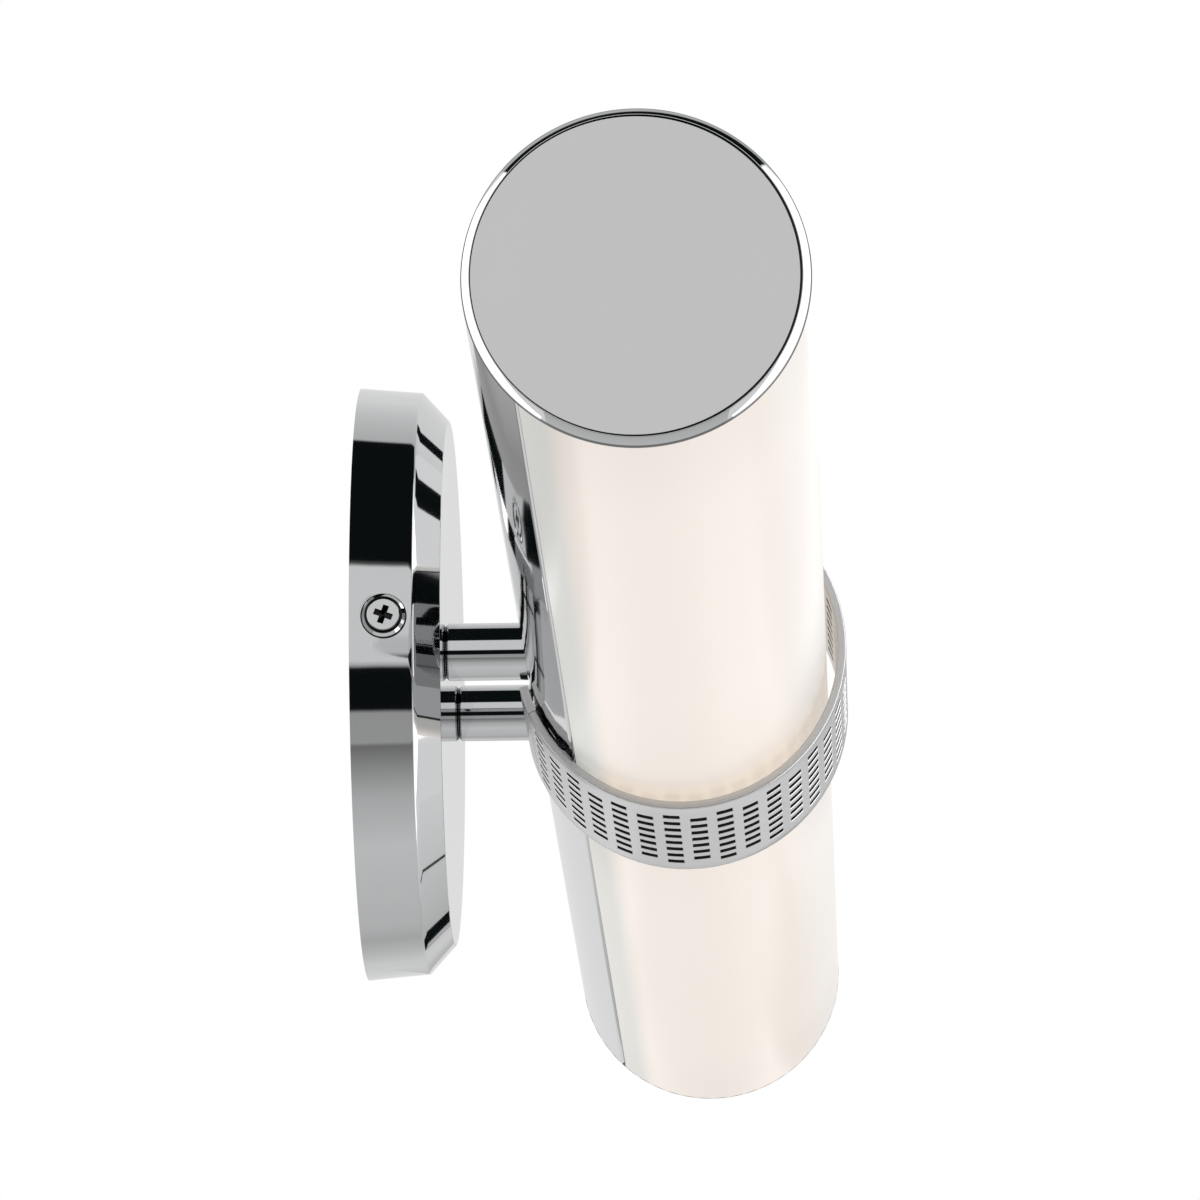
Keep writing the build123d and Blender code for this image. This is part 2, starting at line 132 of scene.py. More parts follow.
class BathBarShape(bpy.types.PropertyGroup):
    """Sizes of the detailed pieces"""
    cap_bevel: length("Cap bevel", "Width of the bevel round an end cap", 1.45 * MM)
    cap_edge: length("Cap edge", "Rounding of the end cap's outer edge", 0.35 * MM)
    disc_sink: length("Disc sink", "How far an end disc lies below the cap's rim", 0.30 * MM)
    disc_gap: length("Disc gap", "Dark line between an end disc and its cap", 0.22 * MM)
    disc_shift: length("Disc shift", "How far an end disc lies off the middle of its recess", 0.15 * MM)
    hole_size: length("Hole size", "Side of a square hole in the centre band", 3.25 * MM)
    hole_pitch: length("Hole pitch", "Step between holes along the tube", 6.04 * MM)
    column_pitch: rotation("Column pitch", "Step between columns of holes", 9.4)
    side_columns: number("Side columns", "Columns of holes on each side of the front one", 16)
    most_holes: number("Most holes", "Holes in the front column; every second column has one hole less", 8)
    band_end: rotation("Band end", "Angle from the front at which the band ends", 156.6)
    band_wall: length("Band wall", "Thickness of the centre band", BAND_WALL)
    band_rim: length("Band rim", "Rounding of the band's two rims", 0.35 * MM)
    hole_ease: length("Hole ease", "Broken edge of the holes in the band", 0.15 * MM)
    head_height: length("Head height", "Height of a canopy screw's head", 0.98 * MM)
    recess_reach: length("Recess reach", "Half length of the cross recess in a canopy screw", 1.80 * MM)
    recess_width: length("Recess width", "Width of one arm of the cross recess", 1.05 * MM)
    recess_depth: length("Recess depth", "Depth of the cross recess at its middle", 0.90 * MM)
    screw_pitch: length("Screw pitch", "Thread pitch of the canopy screws", 0.70 * MM)
    nipple_pitch: length("Nipple pitch", "Thread pitch of the threaded tubes", 0.94 * MM)


class BathBarFinish(bpy.types.PropertyGroup):
    """Colours and gloss of the finishes"""
    chrome: tint("Chrome", "Colour of the polished plate", (0.60, 0.605, 0.612))
    chrome_rough: share("Chrome roughness", "Blur of the polished plate", 0.025)
    face: tint("End face", "Colour of the end discs", (0.60, 0.60, 0.60))
    face_rough: share("End face roughness", "Blur of the end discs", 0.10)
    band: tint("Band", "Colour of the satin band", (0.66, 0.66, 0.66))
    band_rough: share("Band roughness", "Blur of the satin band", 0.20)
    rim_rings: share("Rim rings", "Depth in millimetres of the turned rings on the band's rims", 0.03)
    opal: tint("Opal", "Colour of the unlit diffuser", (0.25, 0.25, 0.25))
    opal_glow: tint("Opal glow", "Light that comes through the diffuser", (0.63, 0.558, 0.496))
    # Painted reflection of the band, warmer on the sleeve next to it.
    opal_band_reflection: tint("Opal ring", "Light on the sleeve next to the strap", (0.64, 0.55, 0.45))
    # Glow at the front, tinted cooler as a painted reflection of the white surroundings.
    opal_front_glow_and_reflection: tint("Opal front", "Light that comes through the diffuser's front", (0.615, 0.58, 0.55))
    opal_pale: tint("Opal pale", "Light beside the tray on the half without the power supply", (0.455, 0.452, 0.425))
    opal_shade: tint("Opal shade", "Light that comes through beside the tray", (0.39, 0.375, 0.34))
    opal_rough: share("Opal roughness", "Blur of the diffuser's gloss", 0.17)
    zinc: tint("Zinc", "Colour of the plated steel inside", (0.62, 0.63, 0.64))


class BathBarStage(bpy.types.PropertyGroup):
    """Camera, lamps, cards and floor"""
    camera_place: point("Camera place", "Where the camera stands", (-1.8052, -0.10383, -0.42008))
    camera_aim: point("Camera aim", "Point that the camera looks at", (0.0, -0.04754, 0.01696))
    camera_roll: rotation("Camera roll", "Tilt of the camera about its view", -0.374)
    camera_lens: bpy.props.FloatProperty(name="Lens", description="Focal length on a 36 mm sensor", default=274.57,
                                         subtype="DISTANCE_CAMERA")
    floor_level: length("Floor level", "Height of the floor", -3.2)
    floor_reach: length("Floor reach", "Half the side of the square floor", 8.0)
    ambient: share("Ambient light", "Strength of the sky on matt surfaces", 0.35)
    panel_power: bpy.props.FloatProperty(name="Panel power", description="Power of each side panel", default=9.3,
                                         subtype="POWER")
    panel_width: length("Panel width", "Width of each side panel", 0.7)
    panel_height: length("Panel height", "Height of each side panel", 3.0)
    panel_place: point("Panel place", "Middle of the panel on the wall's side; its twin faces it", (-0.25, 1.25, 0.1))
    ring_radius: length("Ring radius", "Radius of the ring of cards that the metal reflects", 1.5)
    ring_width: length("Ring width", "Half width of that ring", 1.15)
    flag_reach: length("Flag reach", "Distance of the flags that the canopy's chamfer mirrors", 1.1)
    flag_width: length("Flag width", "Half width of those flags", 0.12)
    flag_radius: length("Flag radius", "Distance of the dark flags and the low card past the right end", 1.35)


# Arrays of points and faces

def grid_quads(rows, columns, close_rows=False, close_columns=False):
    """Quads of a grid numbered row by row; closing joins the last row or column to the first."""
    row = np.arange(rows if close_rows else rows - 1)[:, None]
    column = np.arange(columns if close_columns else columns - 1)[None, :]
    below, beside = (row + 1) % rows, (column + 1) % columns
    corners = (row * columns + column, row * columns + beside, below * columns + beside, below * columns + column)
    return np.stack(np.broadcast_arrays(*corners), -1).reshape(-1, 4)


def across(axis):
    """Two directions that stand square on an axis and on each other."""
    axis = Vector(axis).normalized()
    side = axis.orthogonal().normalized()
    return np.array(axis), np.array(side), np.array(axis.cross(side))


def turned(along, out, angle, centre, axis):
    """Cylinder coordinates: a point goes to centre + along * axis + out * (cos angle * side + sin angle * up)."""
    axis, side, up = across(axis)
    spoke = np.cos(angle)[..., None] * side + np.sin(angle)[..., None] * up
    return np.array(centre) + along[..., None] * axis + out[..., None] * spoke


def lathe(profile, centre, axis, turns):
    """Surface of revolution: every (along, out) pair of the profile is carried round the axis."""
    angle = np.linspace(0, 2 * math.pi, turns, endpoint=False)
    along, out = (np.repeat(profile[:, i, None], turns, 1) for i in (0, 1))
    points = turned(along, out, np.broadcast_to(angle, along.shape), centre, axis)
    return points.reshape(-1, 3), grid_quads(len(profile), turns, close_columns=True)


def eased(corners, steps=4):
    """Profile with rounded corners: each (along, out, radius) corner becomes the curve
    (1 - t)^2 A + 2 t (1 - t) C + t^2 B, where A and B lie a radius before and after the corner C."""
    corners = np.array(corners, float)
    at, radius = corners[:, :2], corners[:, 2:]
    ahead = np.diff(at, axis=0, append=at[-1:])
    behind = np.diff(at, axis=0, prepend=at[:1])
    unit = [v / np.maximum(np.linalg.norm(v, axis=1, keepdims=True), 1e-12) for v in (behind, ahead)]
    start, end = at - radius * unit[0], at + radius * unit[1]
    t = np.linspace(0, 1, steps + 1)[None, :, None]
    curve = (1 - t) ** 2 * start[:, None] + 2 * t * (1 - t) * at[:, None] + t ** 2 * end[:, None]
    return curve.reshape(-1, 2)


def ridge(phase):
    """Thread profile: a rounded triangle wave from nought at the root to one at the crest."""
    wave = np.abs((phase % 1.0) * 2 - 1)
    return wave * wave * (3 - 2 * wave)


def lid(first, count):
    """Quads that close a loop of points whose two halves lie side by side: point i faces point count - 1 - i."""
    i = np.arange(count // 2 - 1)
    return first + np.stack([i, i + 1, count - 2 - i, count - 1 - i], -1)


def joined(parts):
    """Points and quads of several parts as one pair of arrays."""
    points, quads = zip(*parts)
    first = np.cumsum([0, *map(len, points[:-1])])
    return np.concatenate(points), np.concatenate([quad + start for quad, start in zip(quads, first)])


def add_piece(name, parts, finish, body, nodes, crease=32.0):
    """Make one object from arrays of points and quads: merge doubles, face outwards, crease the sharp edges."""
    points, quads = joined(parts)
    mesh = bpy.data.meshes.new(name)
    mesh.from_pydata(points.tolist(), [], quads.tolist())
    shell = bmesh.new()
    shell.from_mesh(mesh)
    bmesh.ops.remove_doubles(shell, verts=shell.verts, dist=1e-6)
    bmesh.ops.dissolve_degenerate(shell, edges=shell.edges, dist=1e-7)
    bmesh.ops.recalc_face_normals(shell, faces=shell.faces)
    shell.to_mesh(mesh)
    shell.free()
    mesh.shade_smooth()
    mesh.set_sharp_from_angle(angle=math.radians(crease))
    if not mesh.polygons:
        raise RuntimeError(f"{name} has no faces")
    mesh.materials.append(finish)
    made = bpy.data.objects.new(name, mesh)
    bpy.context.scene.collection.objects.link(made)
    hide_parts(*nodes)
    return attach(made, body)


# Materials

class Flow:
    """One output of a node tree. Sums with numbers or other outputs add Math nodes."""

    def __init__(self, tree, socket=None):
        self.tree, self.socket = tree, socket

    def make(self, kind, settings=None, inputs=None, output=0):
        """Add a node: its settings are set first, then the values or links of its inputs."""
        node = self.tree.nodes.new("ShaderNode" + kind)
        for name, value in (settings or {}).items():
            if name == "stops":
                ramp = node.color_ramp
                while len(ramp.elements) < len(value):
                    ramp.elements.new(1)
                for element, (place, colour) in zip(ramp.elements, value):
                    element.position, element.color = place, (*colour, 1)
            else:
                setattr(node, name, value)
        for name, value in (inputs or {}).items():
            if isinstance(value, Flow):
                self.tree.links.new(value.socket, node.inputs[name])
            else:
                node.inputs[name].default_value = value
        return Flow(self.tree, node.outputs[output] if node.outputs else None)

    def math(self, operation, *terms):
        """A Math node on values or numbers."""
        return self.make("Math", {"operation": operation}, dict(enumerate(terms)))

    def __add__(self, other):
        return self.math("ADD", self, other)

    def __sub__(self, other):
        return self.math("SUBTRACT", self, other)

    def __rsub__(self, other):
        return self.math("SUBTRACT", other, self)

    def __mul__(self, other):
        return self.math("MULTIPLY", self, other)

    def __truediv__(self, other):
        return self.math("DIVIDE", self, other)

    def __gt__(self, other):
        return self.math("GREATER_THAN", self, other)

    def __lt__(self, other):
        return self.math("LESS_THAN", self, other)

    __radd__ = __add__
    __rmul__ = __mul__

    def __neg__(self):
        return 0 - self

    def size(self):
        """The value without its sign."""
        return self.math("ABSOLUTE", self)

    def root(self):
        """The square root of the value."""
        return self.math("SQRT", self)

    def least(self, floor):
        """The value, or the floor where that is higher."""
        return self.math("MAXIMUM", self, floor)

    def over(self, along):
        """The angle of a point that lies this far up and so far along."""
        return self.math("ARCTAN2", self, along)

    def within(self, low, high):
        """How far the value has gone from low to high, from nought to one, smoothly."""
        return self.make("MapRange", {"interpolation_type": "SMOOTHSTEP"},
                         {"Value": self, "From Min": low, "From Max": high})

    def along(self, low, high):
        """How far the value has gone from low to high, evenly."""
        return (self - low) / (high - low)

    def inside(self, low, high):
        """One where the value lies between low and high, else nought."""
        return (self > low) * (self < high)

    def between(self, first, second):
        """Mix two colours by this value."""
        colours = {6: self.colour(first), 7: self.colour(second)}
        return self.make("Mix", {"data_type": "RGBA"}, {0: self, **colours}, output=2)

    @staticmethod
    def colour(value):
        """A colour with its alpha, or an output as it is."""
        return value if isinstance(value, Flow) else (*value, 1)


class Finish:
    """A material: its Object coordinates, textures on them and one shader at its end."""

    def __init__(self, name):
        self.material = bpy.data.materials.new(name)
        self.material.use_nodes = True
        self.tree = self.material.node_tree
        self.tree.nodes.clear()
        self.flow = Flow(self.tree)
        self.place = self.flow.make("TexCoord", output="Object")

    def axes(self):
        """The three Object coordinates, in metres."""
        node = self.flow.make("SeparateXYZ", inputs={"Vector": self.place}).socket.node
        return [Flow(self.tree, socket) for socket in node.outputs]

    def stretched(self, scale):
        """Object coordinates scaled along each axis, for grain that runs one way."""
        return self.flow.make("Mapping", inputs={"Vector": self.place, "Scale": scale})

    def noise(self, scale, detail=2.0, roughness=0.5, place=None):
        """Noise with features of about one over scale metres."""
        return self.flow.make("TexNoise", inputs={"Vector": place or self.place, "Scale": scale, "Detail": detail,
                                                  "Roughness": roughness})

    def relief(self, height, depth):
        """Bump of a height map, where one is raised by depth metres."""
        return self.flow.make("Bump", inputs={"Height": height, "Distance": depth, "Strength": 1.0})

    def end(self, **sockets):
        """The closing shader; socket names are written with underscores."""
        inputs = {name.replace("_", " "): Flow.colour(value) if "Color" in name else value
                  for name, value in sockets.items()}
        shader = self.flow.make("BsdfPrincipled", inputs=inputs)
        self.flow.make("OutputMaterial", inputs={"Surface": shader})
        return self.material


def square(value):
    """A value times itself."""
    return value * value


def polished_chrome(look):
    """Mirror plate: a faint slow wave in the surface, wiped patches that are a little duller, a softened edge round the
    canopy and painted shade on the end caps' outer edges. Painted shade darkens the recess under each end disc, the
    cross recess of a screw, and the seams round its head, round its washer and at the foot of each post."""
    chrome = Finish("polished_chrome")
    x, y, z = chrome.axes()
    from_end, from_head = TUBE_END - x.size(), SCREW_END - x.size()
    from_tube, from_screw = ((square(y - centre) + square(z)).root() for centre in (TUBE_Y, SCREW_Y))
    recess = (from_tube < RECESS_RADIUS + 0.03 * MM) * (from_end < 1.6 * MM)
    cross = (from_screw < 1.95 * MM) * from_head.inside(0.14 * MM, 1.0 * MM)
    head_seam = from_screw.inside(3.2 * MM, 3.75 * MM) * from_head.inside(0.12 * MM, 1.1 * MM)
    washer_seam = from_screw.inside(4.2 * MM, 4.55 * MM) * from_head.inside(1.2 * MM, 2.2 * MM)
    at_post = ((x.size() - POST_X).size() < 6.5 * MM) * (z.size() < 7 * MM)
    post_seam = at_post * (CANOPY_FRONT - y).inside(0.03 * MM, 0.32 * MM)
    # Painted shade: near-black colour in the recess under each end disc, the cross recess and the seams round head,
    # washer and posts.
    painted_shade = recess + cross + head_seam + washer_seam + post_seam
    canopy_edge, edge_reach, canopy_reach = CANOPY_FRONT + CHAMFER_DEPTH, 0.8 * MM, 70 * MM
    softened = square(((edge_reach - (y - canopy_edge).size()) / MM).least(0)) * (x.size() < canopy_reach)
    wave = chrome.noise(26, detail=1)
    wiped = chrome.noise(60, detail=4, roughness=0.6)
    # Painted shade: the end caps' outer edges are darkened to a third of the plate's colour.
    cap_edge_shade = (from_tube > TUBE_RADIUS - 0.27 * MM) * (from_end < CAP_THICK + 0.05 * MM)
    plate = cap_edge_shade.between(wiped.between([0.97 * c for c in look.chrome], look.chrome), [0.32 * c for c in look.chrome])
    return chrome.end(Base_Color=painted_shade.between(plate, (0.02, 0.02, 0.02)), Metallic=1.0,
                      Roughness=look.chrome_rough + wiped * 0.03,
                      Normal=chrome.relief(0.012 * wave - 0.12 * softened, MM))


def end_face(look):
    """Finely lapped disc: faint arcs of the lapping wheel and a soft even gloss."""
    face = Finish("brushed_end_face")
    _, y, z = face.axes()
    radius = (square(y - TUBE_Y) + square(z)).root()
    rings = face.flow.make("TexNoise", {"noise_dimensions": "1D"},
                           {"W": radius, "Scale": 5200.0, "Detail": 2.0, "Roughness": 0.5})
    patch = face.noise(90, detail=3)
    tone = patch.between([0.985 * c for c in look.face], look.face)
    return face.end(Base_Color=tone, Metallic=1.0, Roughness=look.face_rough + rings * 0.04 + patch * 0.03,
                    Normal=face.relief(rings, 0.0006 * MM))


def satin_band(look):
    """Bead-blasted plate: fine grain on the faces, painted shade on the walls inside the punched holes, and rims with
    the fine rings of the lathe that cut them."""
    band = Finish("satin_band")
    x, y, z = band.axes()
    radius = (square(y - BAND_Y) + square(z)).root()
    inner = BAND_RADIUS - BAND_WALL
    skin = 0.12 * MM
    wall = radius.inside(inner + skin, BAND_RADIUS - skin) * (x.size() < BAND_HALF - 1 * MM)
    rim = x.size() > BAND_HALF - 0.05 * MM
    rings = band.flow.make("TexNoise", {"noise_dimensions": "1D"},
                           {"W": radius, "Scale": 6500.0, "Detail": 1.0, "Roughness": 0.5})
    grain = band.noise(2600, detail=2)
    cloud = band.noise(220, detail=3)
    plate = cloud.between([0.95 * c for c in look.band], look.band)
    # Painted shade: the hole walls are near black; the same mask makes them rougher and less metallic.
    tone = wall.between(plate, (0.012, 0.012, 0.013))
    height = 0.004 * grain + look.rim_rings * rim * rings
    blur = look.band_rough + 0.10 * grain + 0.3 * wall + 0.16 * rim
    return band.end(Base_Color=tone, Metallic=1.0 - 0.6 * wall, Roughness=blur, Normal=band.relief(height, MM))


def opal_acrylic(look):
    """Lit opal sleeve: warm light that is a little weaker at the ends and behind and much weaker beside the tray. The
    front is cooler, the glow mixed with a painted reflection of the white surroundings; next to the band it is
    yellower, a painted reflection of the band; painted shade darkens the front beside the band. Its gloss is softer
    near the band.
    A painted shadow darkens the sleeve along the seams, wider towards the right end."""
    opal = Finish("opal_acrylic")
    x, y, z = opal.axes()
    forward, black = TUBE_Y - y, (0, 0, 0)
    ends = x.size().within(240 * MM, 306 * MM)
    by_tray = (-forward).within(12 * MM, 17.5 * MM)
    front = forward.within(0.65 * TUBE_RADIUS, TUBE_RADIUS)
    ahead = forward.within(0, 0.4 * TUBE_RADIUS)
    wider = math.radians(0.5) * x.within(50 * MM, 300 * MM)
    # Painted shadow along the seams with the housing: near-black glow and colour, wider towards the right end.
    seam_shadow = z.size().over(forward) + wider > math.radians(132.3)
    near_band = 1 - x.size().within(40 * MM, 115 * MM)
    # Painted reflection: the ring beside the band's edges takes the warmer colour of the band's reflection.
    ring = 1 - (x.size() - BAND_HALF).within(5 * MM, 8 * MM)
    cloud = opal.noise(34, detail=2)
    haze = opal.noise(900, detail=3)
    # At the front the glow is cooler, with a painted reflection of the white surroundings.
    warm = (0.6 * ring).between(front.between(look.opal_glow, look.opal_front_glow_and_reflection), look.opal_band_reflection)
    shade = x.within(-BAND_HALF, BAND_HALF).between(look.opal_pale, look.opal_shade)
    # Painted shade: the 0.20 * front * near_band term darkens the front beside the band.
    fade = 0.07 * ends + 0.04 * (1 - ahead) + 0.20 * front * near_band + 0.02 * cloud
    glow = seam_shadow.between(fade.between(by_tray.between(warm, shade), black), black)
    tone = seam_shadow.between(cloud.between([0.97 * c for c in look.opal], look.opal), (0.03, 0.03, 0.03))
    blur = look.opal_rough * (1 + 0.5 * near_band) + 0.05 * haze * (1 - near_band)
    return opal.end(Base_Color=tone, Roughness=blur, IOR=1.49, Emission_Color=glow, Emission_Strength=1.0,
                    Normal=opal.relief(opal.noise(45, detail=1), 0.006 * MM))


def zinc_steel(look):
    """Zinc plate: small dull crystals and rubbed patches."""
    zinc = Finish("zinc_steel")
    crystal = zinc.flow.make("TexVoronoi", {"feature": "F1"}, {"Vector": zinc.place, "Scale": 700.0}, output="Color")
    shade = zinc.flow.make("SeparateColor", inputs={"Color": crystal})
    rub = zinc.noise(160, detail=4)
    tone = shade.between([0.86 * c for c in look.zinc], look.zinc)
    return zinc.end(Base_Color=tone, Metallic=1.0, Roughness=0.24 + 0.12 * shade + 0.12 * rub,
                    Normal=zinc.relief(rub, 0.01 * MM))


def moulded(name, colour, roughness, scale, metallic=0.0):
    """Plain moulded or painted surface with a fine grain and slight clouds of colour."""
    plain = Finish(name)
    grain = plain.noise(scale, detail=3)
    cloud = plain.noise(scale / 12, detail=2)
    tone = cloud.between([0.92 * c for c in colour], colour)
    return plain.end(Base_Color=tone, Metallic=metallic, Roughness=roughness + 0.10 * grain,
                     Normal=plain.relief(grain, 0.008 * MM))


def drawn_aluminium(name):
    """Extruded tray: fine lines that run along the tube."""
    drawn = Finish(name)
    lines = drawn.noise(900, detail=2, place=drawn.stretched((0.01, 1, 1)))
    tone = lines.between((0.66, 0.67, 0.68), (0.78, 0.79, 0.80))
    return drawn.end(Base_Color=tone, Metallic=1.0, Roughness=0.28 + 0.14 * lines,
                     Normal=drawn.relief(lines, 0.004 * MM))


def finishes(look):
    """The finish of every material slot of the record."""
    return {
        "polished_chrome": polished_chrome(look),
        "brushed_end_face": end_face(look),
        "satin_band": satin_band(look),
        "opal_acrylic": opal_acrylic(look),
        "zinc_steel": zinc_steel(look),
        "ground_green": moulded("ground_green", (0.05, 0.26, 0.09), 0.32, 900, 0.4),
        "tray_aluminium": drawn_aluminium("tray_aluminium"),
        "board_white": moulded("board_white", (0.86, 0.86, 0.83), 0.45, 1500),
        "led_phosphor": moulded("led_phosphor", (0.90, 0.70, 0.20), 0.35, 2500),
        "driver_case": moulded("driver_case", (0.80, 0.80, 0.78), 0.50, 1200),
        "bushing_black": moulded("bushing_black", (0.025, 0.025, 0.027), 0.42, 1400),
    }


def finish_of(slot):
    """A finish that has been made already."""
    found = bpy.data.materials.get(slot)
    if found is None:
        raise RuntimeError(f"the finish {slot} is not made yet")
    return found


class BATHBAR_OT_frame(bpy.types.Operator):
    """Give every node of the frame its finish"""
    bl_idname = "bathbar.frame"
    bl_label = "Finish the frame"

    def execute(self, context):
        for material in list(bpy.data.materials):
            material.name = "packed_" + material.name
        made = finishes(context.scene.bathbar_finish)
        for row in frame["record"]["subparts"]:
            node = frame["nodes"][row["node"]]
            for place in node.material_slots:
                place.material = made[row["material_slot"]]
        return {"FINISHED"}


class BATHBAR_OT_end_caps(bpy.types.Operator):
    """Turn the bevelled end caps and their sunk face discs"""
    bl_idname = "bathbar.end_caps"
    bl_label = "End caps"

    def execute(self, context):
        shape = context.scene.bathbar_shape
        base, flange = CAP_THICK - (DISC_HIGH.x - CAP_LOW.x), TUBE_END - CAP_THICK
        cap = eased([
            (base, 0, 0),
            (base, RECESS_RADIUS, 0.05 * MM),
            (CAP_THICK, RECESS_RADIUS, 0.06 * MM),
            (CAP_THICK, TUBE_RADIUS - shape.cap_bevel, 0.06 * MM),
            (CAP_THICK - shape.cap_bevel, TUBE_RADIUS, shape.cap_edge),
            (0, TUBE_RADIUS, 0.08 * MM),
            (0, 0, 0),
        ])
        disc_radius, disc_top = RECESS_RADIUS - shape.disc_gap, CAP_THICK - shape.disc_sink
        disc = eased([
            (base, 0, 0),
            (base, disc_radius, 0.05 * MM),
            (disc_top, disc_radius, 0.10 * MM),
            (disc_top, 0, 0),
        ])
        for name, side in SIDES.items():
            axis = (side, 0, 0)
            centre = (side * flange, TUBE_Y, 0)
            middle = (side * flange, TUBE_Y + shape.disc_shift, 0.4 * shape.disc_shift)
            add_piece(f"cap_{name}", [lathe(cap, centre, axis, 192), self.spigot(side, flange)],
                      finish_of("polished_chrome"), "light", [f"end_cap_{name}"])
            add_piece(f"face_disc_{name}", [lathe(disc, middle, axis, 192)], finish_of("brushed_end_face"),
                      "light", [f"end_disc_{name}"])
        return {"FINISHED"}

    @staticmethod
    def spigot(side, tube_end):
        """Lip that slips into the diffuser: a rectangle carried round the tube's axis, its two ends closed."""
        outer, inner, reach = TUBE_RADIUS - 2.1 * MM, TUBE_RADIUS - 3.7 * MM, 8.0 * MM
        half_turn = math.radians(110)
        angle = np.linspace(-half_turn, half_turn, 97)
        along = np.array([0, 0, -reach, -reach]) * side + side * tube_end
        out = np.array([inner, outer, outer, inner])
        x, radius, turn = np.broadcast_arrays(along[None, :], out[None, :], angle[:, None])
        points = np.stack([x, TUBE_Y - radius * np.cos(turn), radius * np.sin(turn)], -1).reshape(-1, 3)
        quads = grid_quads(len(angle), 4, close_columns=True)
        return points, np.concatenate([quads, lid(0, 4), lid(len(points) - 4, 4)])


class BATHBAR_OT_band(bpy.types.Operator):
    """Roll the perforated centre band with broken edges"""
    bl_idname = "bathbar.band"
    bl_label = "Centre band"

    def execute(self, context):
        shape = context.scene.bathbar_shape
        outer, inner = BAND_RADIUS, BAND_RADIUS - shape.band_wall
        column = np.arange(-shape.side_columns, shape.side_columns + 1)
        rows = shape.most_holes - column % 2
        parts = [self.cells(shape, column, rows, outer, inner)]
        parts += [self.margin(shape, end, column, rows, outer, inner) for end in (-1, 1)]
        parts += [self.end_strip(shape, end, outer, inner) for end in (-1, 1)]
        add_piece("perforated_band", parts, finish_of("satin_band"), "light", ["center_band"], 30)
        return {"FINISHED"}

    @staticmethod
    def rolled(x, radius, angle):
        """Place along the tube, radius and angle from the front, on the band's own axis."""
        x, radius, angle = np.broadcast_arrays(x, radius, angle)
        return np.stack([x, BAND_Y - radius * np.cos(angle), radius * np.sin(angle)], -1).reshape(-1, 3)

    def cells(self, shape, column, rows, outer, inner):
        """One frame of eight points a ring round every hole: from the cell's border on the outside, over the
        broken edge, down the hole's wall and out to the border on the inside."""
        spot = np.array([(c, r - (n - 1) / 2) for c, n in zip(column, rows) for r in range(n)])
        middle = spot[:, 1] * shape.hole_pitch
        turn = spot[:, 0] * shape.column_pitch
        hole, ease = shape.hole_size / 2, shape.hole_ease
        radius = np.array([outer, outer, outer - ease, inner + ease, inner, inner])
        reach = np.array([shape.hole_pitch / 2, hole + ease, hole, hole, hole + ease, shape.hole_pitch / 2])
        sweep = np.arcsin(np.array([0, hole + ease, hole, hole, hole + ease, 0]) / radius)
        sweep[[0, -1]] = shape.column_pitch / 2
        step_x = np.array([-1, 0, 1, 1, 1, 0, -1, -1])
        step_turn = np.array([-1, -1, -1, 0, 1, 1, 1, 0])
        points = self.rolled(middle[:, None, None] + reach[None, :, None] * step_x,
                             radius[None, :, None],
                             turn[:, None, None] + sweep[None, :, None] * step_turn)
        quads = grid_quads(len(radius), len(step_x), close_columns=True)
        first = np.arange(len(spot))[:, None, None] * len(radius) * len(step_x)
        return points, (quads[None] + first).reshape(-1, 4)

    @staticmethod
    def rim(shape, outer):
        """Quarter circle over the rim's outer edge, from the top of the band to its end face."""
        bend = np.linspace(0, math.pi / 2, 5)
        return BAND_HALF - shape.band_rim * (1 - np.sin(bend)), outer - shape.band_rim * (1 - np.cos(bend))

    def margin(self, shape, end, column, rows, outer, inner):
        """Plain rim beyond the last holes: a profile over the rim's edges, carried over each column's width."""
        start = rows * shape.hole_pitch / 2
        rim_x, rim_radius = self.rim(shape, outer)
        x = np.concatenate([start[:, None], np.broadcast_to([start.max(), *rim_x], (len(start), len(rim_x) + 1))], 1)
        radius = np.array([outer, outer, *rim_radius])
        x = np.concatenate([x, x[:, ::-1]], 1)
        radius = np.concatenate([radius, (outer + inner - radius)[::-1]])
        turn = (column[:, None] + np.array([-0.5, 0, 0.5])) * shape.column_pitch
        points = self.rolled(end * x[:, None, :], radius[None, None, :], turn[:, :, None])
        first = np.arange(len(column))[:, None, None] * 3 * len(radius)
        return points, (grid_quads(3, len(radius))[None] + first).reshape(-1, 4)

    def end_strip(self, shape, end, outer, inner):
        """Plain end of the band: its cross-section carried from the last column to the end face, which closes it."""
        holes = np.arange(shape.most_holes, -shape.most_holes - 1, -1) * shape.hole_pitch / 2
        rim_x, rim_radius = self.rim(shape, outer)
        x = np.concatenate([rim_x[::-1], holes, -rim_x])
        radius = np.concatenate([rim_radius[::-1], np.full(len(holes), outer), rim_radius])
        x = np.concatenate([x, x[::-1]])
        radius = np.concatenate([radius, (outer + inner - radius)[::-1]])
        turn = end * np.array([(shape.side_columns + 0.5) * shape.column_pitch, shape.band_end])
        points = self.rolled(x[None, :], radius[None, :], turn[:, None])
        return points, np.concatenate([grid_quads(2, len(x), close_columns=True), lid(len(x), len(x))])


